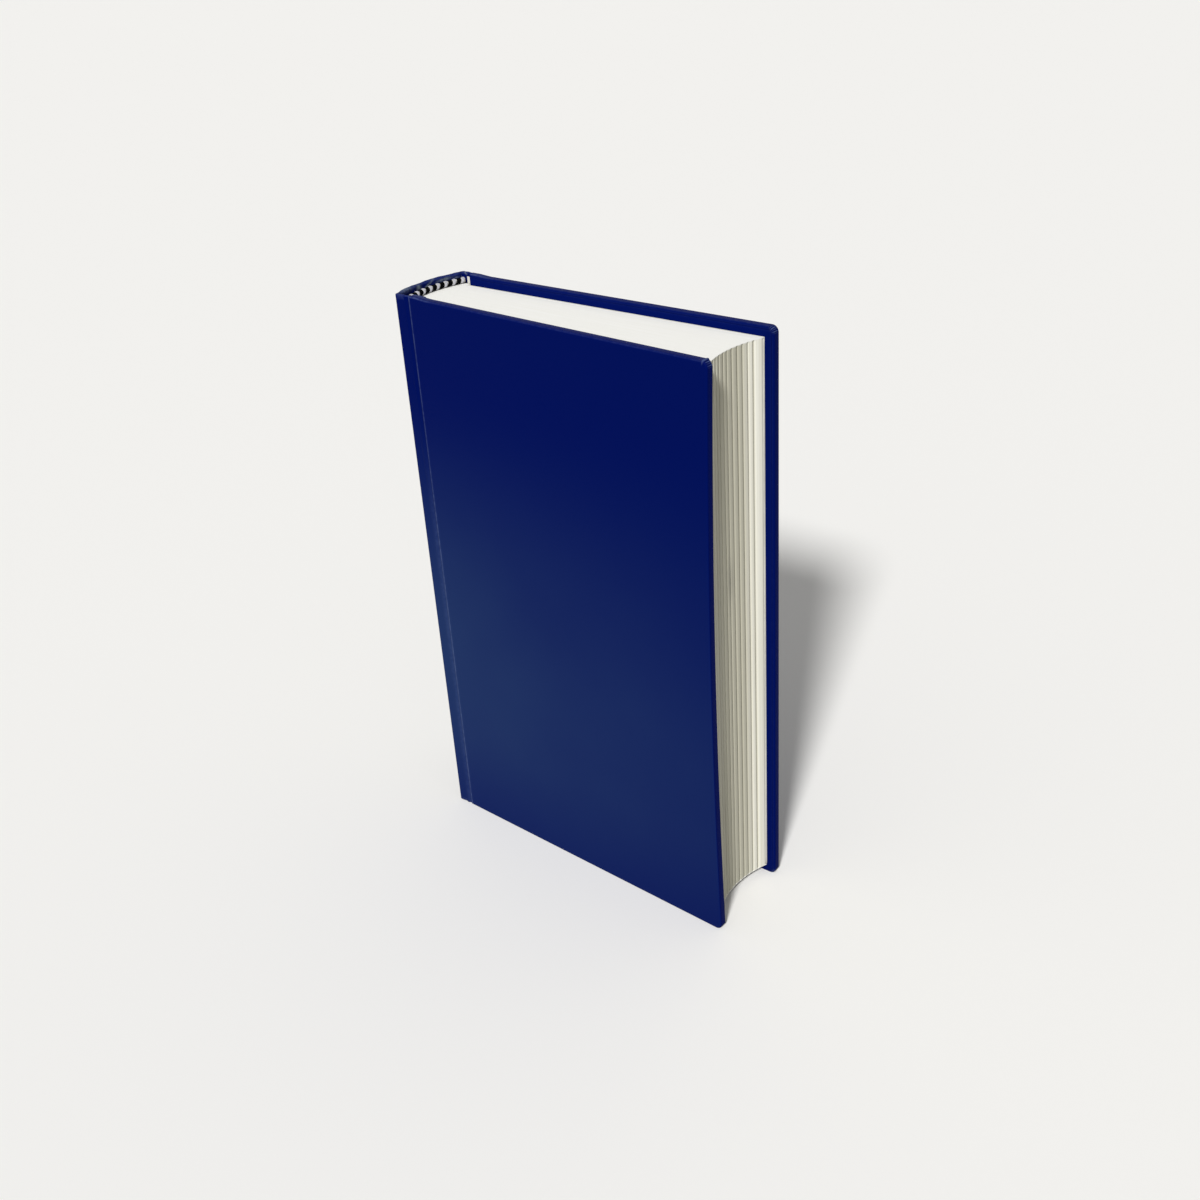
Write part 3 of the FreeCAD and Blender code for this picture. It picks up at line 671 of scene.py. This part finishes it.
def leaf_grid():
    """The block's cross-section: one row for each line of leaves from front to back, each from its
    fold at the spine to the fore-edge. Also each line's number in sections and how far it lies in
    the valley between two."""
    shoulder_y = HALF_CASE - SHOULDER_IN
    shoulder_angle = math.asin(shoulder_y/FOLD_RADIUS)
    front_far = in_cover_flat(LEAF_REACH, LEAF_LEVEL)
    back_far = Vector((BACK_HINGE.x + LEAF_REACH, BACK_HINGE.y - LEAF_LEVEL))
    front_foot = in_cover_flat(-SHOULDER_FOOT, LEAF_LEVEL)
    back_foot = Vector((BACK_HINGE.x - SHOULDER_FOOT, BACK_HINGE.y - LEAF_LEVEL))
    edges = section_edges()
    lines = [(number, part) for number in range(SECTIONS) for part in LINES] + [(SECTIONS - 1, 1)]
    rows = []
    for number, part in lines:
        share = edges[number] + (edges[number + 1] - edges[number])*part
        crown = 1 - abs(2*part - 1)**6
        angle = shoulder_angle*(2*(number + part)/SECTIONS - 1)
        radius = FOLD_RADIUS + FOLD_CROWN*crown
        fold = Vector((SPINE_AXIS - radius*math.cos(angle), MIDDLE_Y + radius*math.sin(angle)))
        foot = front_foot.lerp(back_foot, share)
        outer = abs(2*share - 1)**8
        side = -1 if share < 0.5 else 1
        knee = Vector((foot.x, MIDDLE_Y + side*(shoulder_y - KNEE_IN)))
        knee = fold.lerp(foot, 0.5).lerp(knee, outer)
        far = front_far.lerp(back_far, share)
        far.x += BAND_CROWN - FORE_HOLLOW*4*share*(1 - share)
        row = [fold.lerp(knee, s) for s in (0, 0.5)]
        row += [knee.lerp(foot, s) for s in (0, 0.5)]
        row += [foot.lerp(far, s) for s in steps(0, (0.04, 2), (0.96, 24), (0.99, 2), (1, 2))]
        rows.append((row, number + part, 1 - crown))
    return rows


def in_cover_flat(along, depth):
    """A spot of the front cover's frame in plan, its plane not bowed."""
    x = FRONT_HINGE.x + along*math.cos(AJAR) + depth*math.sin(AJAR)
    y = FRONT_HINGE.y - along*math.sin(AJAR) + depth*math.cos(AJAR)
    return Vector((x, y))


VALLEY_DEPTH = 0.75    # between two sections, at the fore-edge
VALLEY_END = 0.6       # over this height a valley closes at head and tail
WANDER = 0.1           # how far each of four waves moves a valley sideways


def text_block():
    """The sewn leaves as one block, with a band for each section on the fore-edge."""
    lines = leaf_grid()
    sheet = Sheet()
    levels = steps(-LEAF_TOP, (-LEAF_TOP + VALLEY_END, 5), (LEAF_TOP - VALLEY_END, 68), (LEAF_TOP, 5))
    chance = np.random.default_rng(11)
    sway = chance.uniform(-1, 1, (SECTIONS + 1, 4))

    def at(line, z):
        """A line's spots at a height. The valleys close at head and tail, where the leaves were cut
        pressed together, and wander a little between."""
        row, leaf, valley = line
        inwards = LEAF_TOP - abs(z)
        open_here = smooth_step(inwards, -0.2, VALLEY_END)*smooth_step(inwards, 0.0, 0.05)
        nearest = sway[round(leaf)]
        drift = WANDER*sum(nearest[k]*math.sin((k + 1)*math.pi*(z/LEAF_TOP + 1)/2) for k in range(4))
        between = 0 < leaf < SECTIONS
        spots = []
        for number, spot in enumerate(row):
            to_edge = smooth_step(number, len(row) - 6, len(row) - 1)
            spots.append((spot.x - VALLEY_DEPTH*valley*open_here*to_edge,
                          spot.y + drift*to_edge*valley*open_here*between,
                          TOP + z, leaf, smooth_step(inwards, 0.0, 0.4)))
        return spots
    sheet.grid([at(line, LEAF_TOP) for line in lines])
    sheet.grid([at(line, -LEAF_TOP) for line in lines], True)
    rims = []
    for z in levels:
        rows = [at(line, z) for line in lines]
        rims.append(rows[0] + [row[-1] for row in rows[1:]] + rows[-1][-2::-1]
                    + [row[0] for row in rows[-2::-1]])
    sheet.grid(rims)
    piece = mesh_piece("leaf_block", sheet.points, sheet.faces, LEAF_PAINT, 50)
    mark(piece, sheet, "leaf", "off_head_and_tail")
    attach(piece, "book_block")
    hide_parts("text_block")


# ---------------------------------------------------------------- endpapers

def in_leaves(side, along, up, depth):
    """A spot told from a joint in the plane of the leaves, which don't bow with the cover."""
    if side == "back":
        return BACK_HINGE.x + along, BACK_HINGE.y - depth, TOP + up
    flat = in_cover_flat(along, depth)
    return flat.x, flat.y, TOP + up


def pastedown_level(along, up):
    """Depth of the pasted leaf: over the turn-ins, and down to the board and the gauze inside them."""
    edge = min(REACH - TURN_IN - along, TOP - TURN_IN - abs(up))
    into_window = smooth_step(edge, 0.1, 1.1)
    off_gauze = smooth_step(along, 23.6, 24.6)
    return COVER + PAPER - into_window*(SKIN - MULL + MULL*off_gauze)


VALLEY = 1.5           # depth where an endpaper's fold begins, at the joint
BOARD_WALL = 0.85      # joint to the endpaper that covers the board's spine edge
LEAF_WALL = -0.2       # joint to the endpaper that covers the shoulder of the leaves
BOARD_ROUND = 0.3      # the paper's bend at the board's edge, and at the leaves' shoulder
LEAF_ROUND = 0.35
FOLD_DIP = 0.12        # how far the fold sinks between the two
# up the paper: close together where it steps down inside the turn-ins
PAPER_ROWS = steps(-LEAF_TOP, (-90.2, 5), (-88.6, 5), (88.6, 60), (90.2, 5), (LEAF_TOP, 5))


def paper_piece(name, side, rows, flip):
    sheet = Sheet()
    sheet.grid(rows, flip != (side == "back"))
    piece = mesh_piece(name, sheet.points, sheet.faces, ENDPAPER_PAINT)
    thicken(piece, PAPER)
    return piece


def endpaper(side):
    """One folded sheet: pasted to the cover, down the board's edge, across the joint, up the
    shoulder of the leaves and out over the first leaf."""
    round_corner = [(BOARD_WALL + BOARD_ROUND*(1 - math.cos(t)), -BOARD_ROUND*(1 - math.sin(t)))
                    for t in np.linspace(0, math.pi/2, 5)]
    # close together at the end of the gauze and where the turn-in begins
    along = steps(BOARD_WALL + 0.8, (23.4, 8), (24.8, 5), (109.4, 26), (110.8, 6), (LEAF_REACH, 5))

    def pasted(up):
        row = [in_cover(side, BOARD_WALL, up, depth) for depth in np.linspace(VALLEY, 2.7, 5)[:-1]]
        row += [in_cover(side, a, up, pastedown_level(a, up) + d) for a, d in round_corner]
        return row + [in_cover(side, a, up, pastedown_level(a, up)) for a in along]
    pasted_down = paper_piece(f"{side}_pastedown_sheet", side, [pasted(up) for up in PAPER_ROWS], True)
    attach(pasted_down, f"{side}_cover")
    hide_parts(f"{side}_pastedown")

    level = LEAF_LEVEL - PAPER
    bend = [(LEAF_WALL + LEAF_ROUND*(1 - math.cos(t)), level - LEAF_ROUND*(1 - math.sin(t)))
            for t in np.linspace(0, math.pi/2, 5)]
    out = steps(0.6, (LEAF_REACH, 50))

    def loose(up):
        row = [in_leaves(side, LEAF_WALL, up, depth) for depth in np.linspace(VALLEY, 2.9, 5)]
        row += [in_leaves(side, a, up, depth) for a, depth in bend]
        return row + [in_leaves(side, a, up, level) for a in out]
    free = paper_piece(f"{side}_flyleaf_sheet", side, [loose(up) for up in PAPER_ROWS], False)
    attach(free, "book_block")
    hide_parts(f"{side}_flyleaf")

    middle, half = (BOARD_WALL + LEAF_WALL)/2, (BOARD_WALL - LEAF_WALL)/2

    def folded(up):
        return [in_leaves(side, middle - half*math.cos(t), up, VALLEY - FOLD_DIP*math.sin(t))
                for t in np.linspace(0, math.pi, 11)]
    fold = paper_piece(f"{side}_endpaper_fold", side, [folded(up) for up in PAPER_ROWS], True)
    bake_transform(fold)


# ---------------------------------------------------------------- headbands

BEAD = 1.2             # radius of the headband's bead, over its yarn
DARK_BEAD = 1.1        # the dark stripes are wound tighter
YARN = 0.36
STRIPES = 17
TURNS = 5              # turns of yarn in a stripe
BAND_IN = 1.5          # side of the case to the end of a headband
BAND_ANGLE = math.asin((HALF_CASE - BAND_IN)/CREST_RADIUS)
TAPE = 0.3             # headband's tape
LOOSE_TAPE = 0.25      # and its loose end
BEAD_RADIUS = CREST_RADIUS + TAPE - BEAD


def wound_yarn_tree():
    """Geometry Nodes: turns of yarn wound round a bead that follows the spine, in every second
    stripe. A stripe's middle turns stand proud of its outer ones, and the turns lean."""
    tree = bpy.data.node_groups.new("wound_yarn", "GeometryNodeTree")
    for name, kind in (("Spine Radius", "Float"), ("Bead Radius", "Float"), ("Yarn", "Float"),
                       ("First Angle", "Float"), ("Stripe Angle", "Float"), ("Lean", "Float"),
                       ("Plump", "Float"), ("Stripes", "Int"), ("Turns", "Int"), ("Finish", "Material")):
        tree.interface.new_socket(name, in_out="INPUT", socket_type=f"NodeSocket{kind}")
    tree.interface.new_socket("Geometry", in_out="OUTPUT", socket_type="NodeSocketGeometry")
    given = add(tree, "NodeGroupInput").outputs
    value = {socket.name: socket for socket in given}
    value["number"] = add(tree, "GeometryNodeInputIndex").outputs[0]
    # each line: what is worked out, how, and from what
    for name, operation, *terms in (
            ("count", "MULTIPLY", "Stripes", "Turns"),
            ("middle", "ADD", "number", 0.5),
            ("turned", "DIVIDE", "middle", "Turns"),
            ("stripe", "FLOOR", "turned"),
            ("within", "FRACT", "turned"),
            ("place", "MULTIPLY_ADD", "stripe", 2.0, "within"),
            ("angle", "MULTIPLY_ADD", "place", "Stripe Angle", "First Angle"),
            ("swing", "MULTIPLY", "angle", -1.0),
            ("cosine", "COSINE", "angle"),
            ("sine", "SINE", "angle"),
            ("inward", "MULTIPLY", "cosine", "Spine Radius"),
            ("x", "MULTIPLY", "inward", -1.0),
            ("y", "MULTIPLY", "sine", "Spine Radius"),
            ("ring", "MULTIPLY_ADD", "Yarn", -0.5, "Bead Radius"),
            ("strand", "MULTIPLY", "Yarn", 0.56),
            ("aside", "MULTIPLY_ADD", "within", 2.0, -1.0),
            ("squared", "MULTIPLY", "aside", "aside"),
            ("slimmer", "MULTIPLY", "squared", "Plump"),
            ("size", "SUBTRACT", 1.0, "slimmer")):
        value[name] = calculate(tree, operation, *(value.get(term, term) for term in terms))
    turns = add(tree, "GeometryNodeMeshLine", Count=value["count"])
    spot = add(tree, "ShaderNodeCombineXYZ", X=value["x"], Y=value["y"], Z=0.0)
    placed = add(tree, "GeometryNodeSetPosition", Geometry=turns.outputs[0], Position=spot.outputs[0])
    ring = add(tree, "GeometryNodeCurvePrimitiveCircle", Resolution=20, Radius=value["ring"])
    strand = add(tree, "GeometryNodeCurvePrimitiveCircle", Resolution=6, Radius=value["strand"])
    turn = add(tree, "GeometryNodeCurveToMesh", Curve=ring.outputs[0], Profile_Curve=strand.outputs[0])
    # the ring lies in X and Y: stand it across the bead, then lean it and swing it to its place
    stand = add(tree, "FunctionNodeAxisAngleToRotation", Axis=(1, 0, 0), Angle=math.pi/2)
    lean = add(tree, "FunctionNodeAxisAngleToRotation", Axis=(1, 0, 0), Angle=given["Lean"])
    swing = add(tree, "FunctionNodeAxisAngleToRotation", Axis=(0, 0, 1), Angle=value["swing"])
    leant = add(tree, "FunctionNodeRotateRotation", Rotation=stand.outputs[0], Rotate_By=lean.outputs[0])
    swung = add(tree, "FunctionNodeRotateRotation", Rotation=leant.outputs[0], Rotate_By=swing.outputs[0])
    wound = add(tree, "GeometryNodeInstanceOnPoints", Points=placed.outputs[0], Instance=turn.outputs[0],
                Rotation=swung.outputs[0], Scale=value["size"])
    real = add(tree, "GeometryNodeRealizeInstances", Geometry=wound.outputs[0])
    soft = add(tree, "GeometryNodeSetShadeSmooth", _0=real.outputs[0])
    done = add(tree, "GeometryNodeSetMaterial", Geometry=soft.outputs[0], Material=given["Finish"])
    add(tree, "NodeGroupOutput", Geometry=done.outputs[0])
    return tree


def headband_yarn(tree, end, tone, finish):
    """The turns of one colour on a headband, from the node tree."""
    name = f"{end}_headband_{tone}_yarn"
    piece = bpy.data.objects.new(name + "_wound", bpy.data.meshes.new(name + "_wound"))
    bpy.context.scene.collection.objects.link(piece)
    light = tone == "light"
    stripe = 2*BAND_ANGLE/STRIPES
    values = {
        "Spine Radius": BEAD_RADIUS*MM, "Bead Radius": (BEAD if light else DARK_BEAD)*MM, "Yarn": YARN*MM,
        "First Angle": -BAND_ANGLE + (0 if light else stripe), "Stripe Angle": stripe,
        "Lean": math.radians(-24), "Plump": 0.5 if light else 0.0,
        "Stripes": (STRIPES + 1)//2 if light else STRIPES//2, "Turns": TURNS, "Finish": finish,
    }
    maker = piece.modifiers.new("wound_yarn", "NODES")
    maker.node_group = tree
    for socket in tree.interface.items_tree:
        if socket.in_out == "INPUT":
            maker[socket.identifier] = values[socket.name]
    apply_modifiers(piece)
    level = TOP + (LEAF_TOP + BEAD)*(1 if end == "head" else -1)
    piece.data.transform(Matrix.Translation(Vector((SPINE_AXIS, MIDDLE_Y, level))*MM))
    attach(piece, "book_block")
    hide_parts(name)


def tape_end(end):
    """The headband's cut end at the back, which has come away from the spine and stands up."""
    sign = 1 if end == "head" else -1
    path = [(-59.9, 19.15, 2.5), (-59.5, 19.45, 2.5), (-58.9, 19.68, 2.1), (-58.4, 19.72, 1.4),
            (-58.1, 19.6, 0.5)]
    rows = [[(x, y, TOP + sign*(LEAF_TOP - 0.4 + share*(0.4 + high))) for x, y, high in path]
            for share in np.linspace(0, 1, 7)]
    sheet = Sheet()
    sheet.grid(rows, sign > 0)
    piece = mesh_piece(f"{end}_headband_tape_end", sheet.points, sheet.faces, TAPE_PAINT)
    thicken(piece, LOOSE_TAPE)
    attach(piece, "book_block")


# ---------------------------------------------------------------- making everything

NODE_PAINT = {
    "sewing_thread": THREAD_PAINT, "spine_mull": GAUZE_PAINT, "spine_lining": KRAFT_PAINT,
    "spine_inlay": CARD_PAINT, "front_board": BOARD_PAINT, "back_board": BOARD_PAINT,
    "front_mull_flap": GAUZE_PAINT, "back_mull_flap": GAUZE_PAINT,
    "head_headband_tape": TAPE_PAINT, "tail_headband_tape": TAPE_PAINT,
    "head_headband_light_yarn": LIGHT_YARN, "tail_headband_light_yarn": LIGHT_YARN,
    "head_headband_dark_yarn": DARK_YARN, "tail_headband_dark_yarn": DARK_YARN,
    "front_flyleaf": ENDPAPER_PAINT, "back_flyleaf": ENDPAPER_PAINT,
    "front_pastedown": ENDPAPER_PAINT, "back_pastedown": ENDPAPER_PAINT,
    "front_covering": SKIN_PAINT, "back_covering": SKIN_PAINT, "spine_covering": SKIN_PAINT,
    "text_block": LEAF_PAINT,
}
for node, material in NODE_PAINT.items():
    shown = frame["nodes"][node]
    shown.data.materials.clear()
    shown.data.materials.append(material)

cover_skin("front")
cover_skin("back")
spine_skin()
text_block()
endpaper("front")
endpaper("back")
yarn_tree = wound_yarn_tree()
for book_end in ("head", "tail"):
    headband_yarn(yarn_tree, book_end, "light", LIGHT_YARN)
    headband_yarn(yarn_tree, book_end, "dark", DARK_YARN)
    tape_end(book_end)


# ---------------------------------------------------------------- studio

def seen(tree):
    """1 for a ray that comes from the camera, straight or by way of a gloss or glass, and else 0."""
    path = add(tree, "ShaderNodeLightPath").outputs
    straight = calculate(tree, "MAXIMUM", path["Is Camera Ray"], path["Is Glossy Ray"])
    return calculate(tree, "MAXIMUM", straight, path["Is Transmission Ray"])


FLOOR = 20             # metres from the middle of the floor to its sides


def studio():
    scene = bpy.context.scene
    scene.view_settings.view_transform = "Standard"
    camera = bpy.data.cameras.new("studio_camera")
    camera.lens = 41.39
    camera.sensor_width = 36.0
    camera.shift_x = -0.0365
    camera.shift_y = -0.0267
    holder = bpy.data.objects.new("studio_camera", camera)
    scene.collection.objects.link(holder)
    holder.location = (0.27790, -0.32663, 0.33882)
    azimuth, elevation, roll = (math.radians(angle) for angle in (37.566, 27.408, -2.9005))
    turn = Matrix.Rotation(azimuth, 3, "Z") @ Matrix.Rotation(math.pi/2 - elevation, 3, "X")
    turn = turn @ Matrix.Rotation(roll, 3, "Z")
    holder.rotation_mode = "QUATERNION"
    holder.rotation_quaternion = turn.to_quaternion()
    scene.camera = holder

    # the floor and the sky look paler than the light they give
    floor_paint, tree, shader = paint("matt_seamless_paper")
    feed(tree, shader.inputs["Base Color"], mix(tree, seen(tree), "B0AFAC", "FAF9F6"))
    feed(tree, shader.inputs["Roughness"], 0.9)
    feed(tree, shader.inputs["Specular IOR Level"], 0.1)
    floor = bpy.data.meshes.new("studio_floor")
    corners = [(-FLOOR, -FLOOR, 0), (FLOOR, -FLOOR, 0), (FLOOR, FLOOR, 0), (-FLOOR, FLOOR, 0)]
    floor.from_pydata(corners, [], [(0, 1, 2, 3)])
    floor.materials.append(floor_paint)
    floor = bpy.data.objects.new("studio_floor", floor)
    scene.collection.objects.link(floor)

    world = bpy.data.worlds.new("studio_world")
    scene.world = world
    world.use_nodes = True
    tree = world.node_tree
    light = tree.nodes["Background"]
    light.inputs["Color"].default_value = (1, 1, 1, 1)
    light.inputs["Strength"].default_value = 0.30
    shown = add(tree, "ShaderNodeBackground", Color=linear("F6F5F1"), Strength=1.0)
    both = add(tree, "ShaderNodeMixShader", _0=seen(tree), _1=light.outputs[0], _2=shown.outputs[0])
    feed(tree, tree.nodes["World Output"].inputs["Surface"], both.outputs[0])

    key = bpy.data.lights.new("key", "SUN")
    key.angle = math.radians(8)
    key.energy = 3.06
    lamp = bpy.data.objects.new("key", key)
    scene.collection.objects.link(lamp)
    lamp.rotation_mode = "QUATERNION"
    lamp.rotation_quaternion = Vector((-0.29, 0.72, -0.65)).to_track_quat("-Z", "Y")


studio()

bpy.context.view_layer.update()
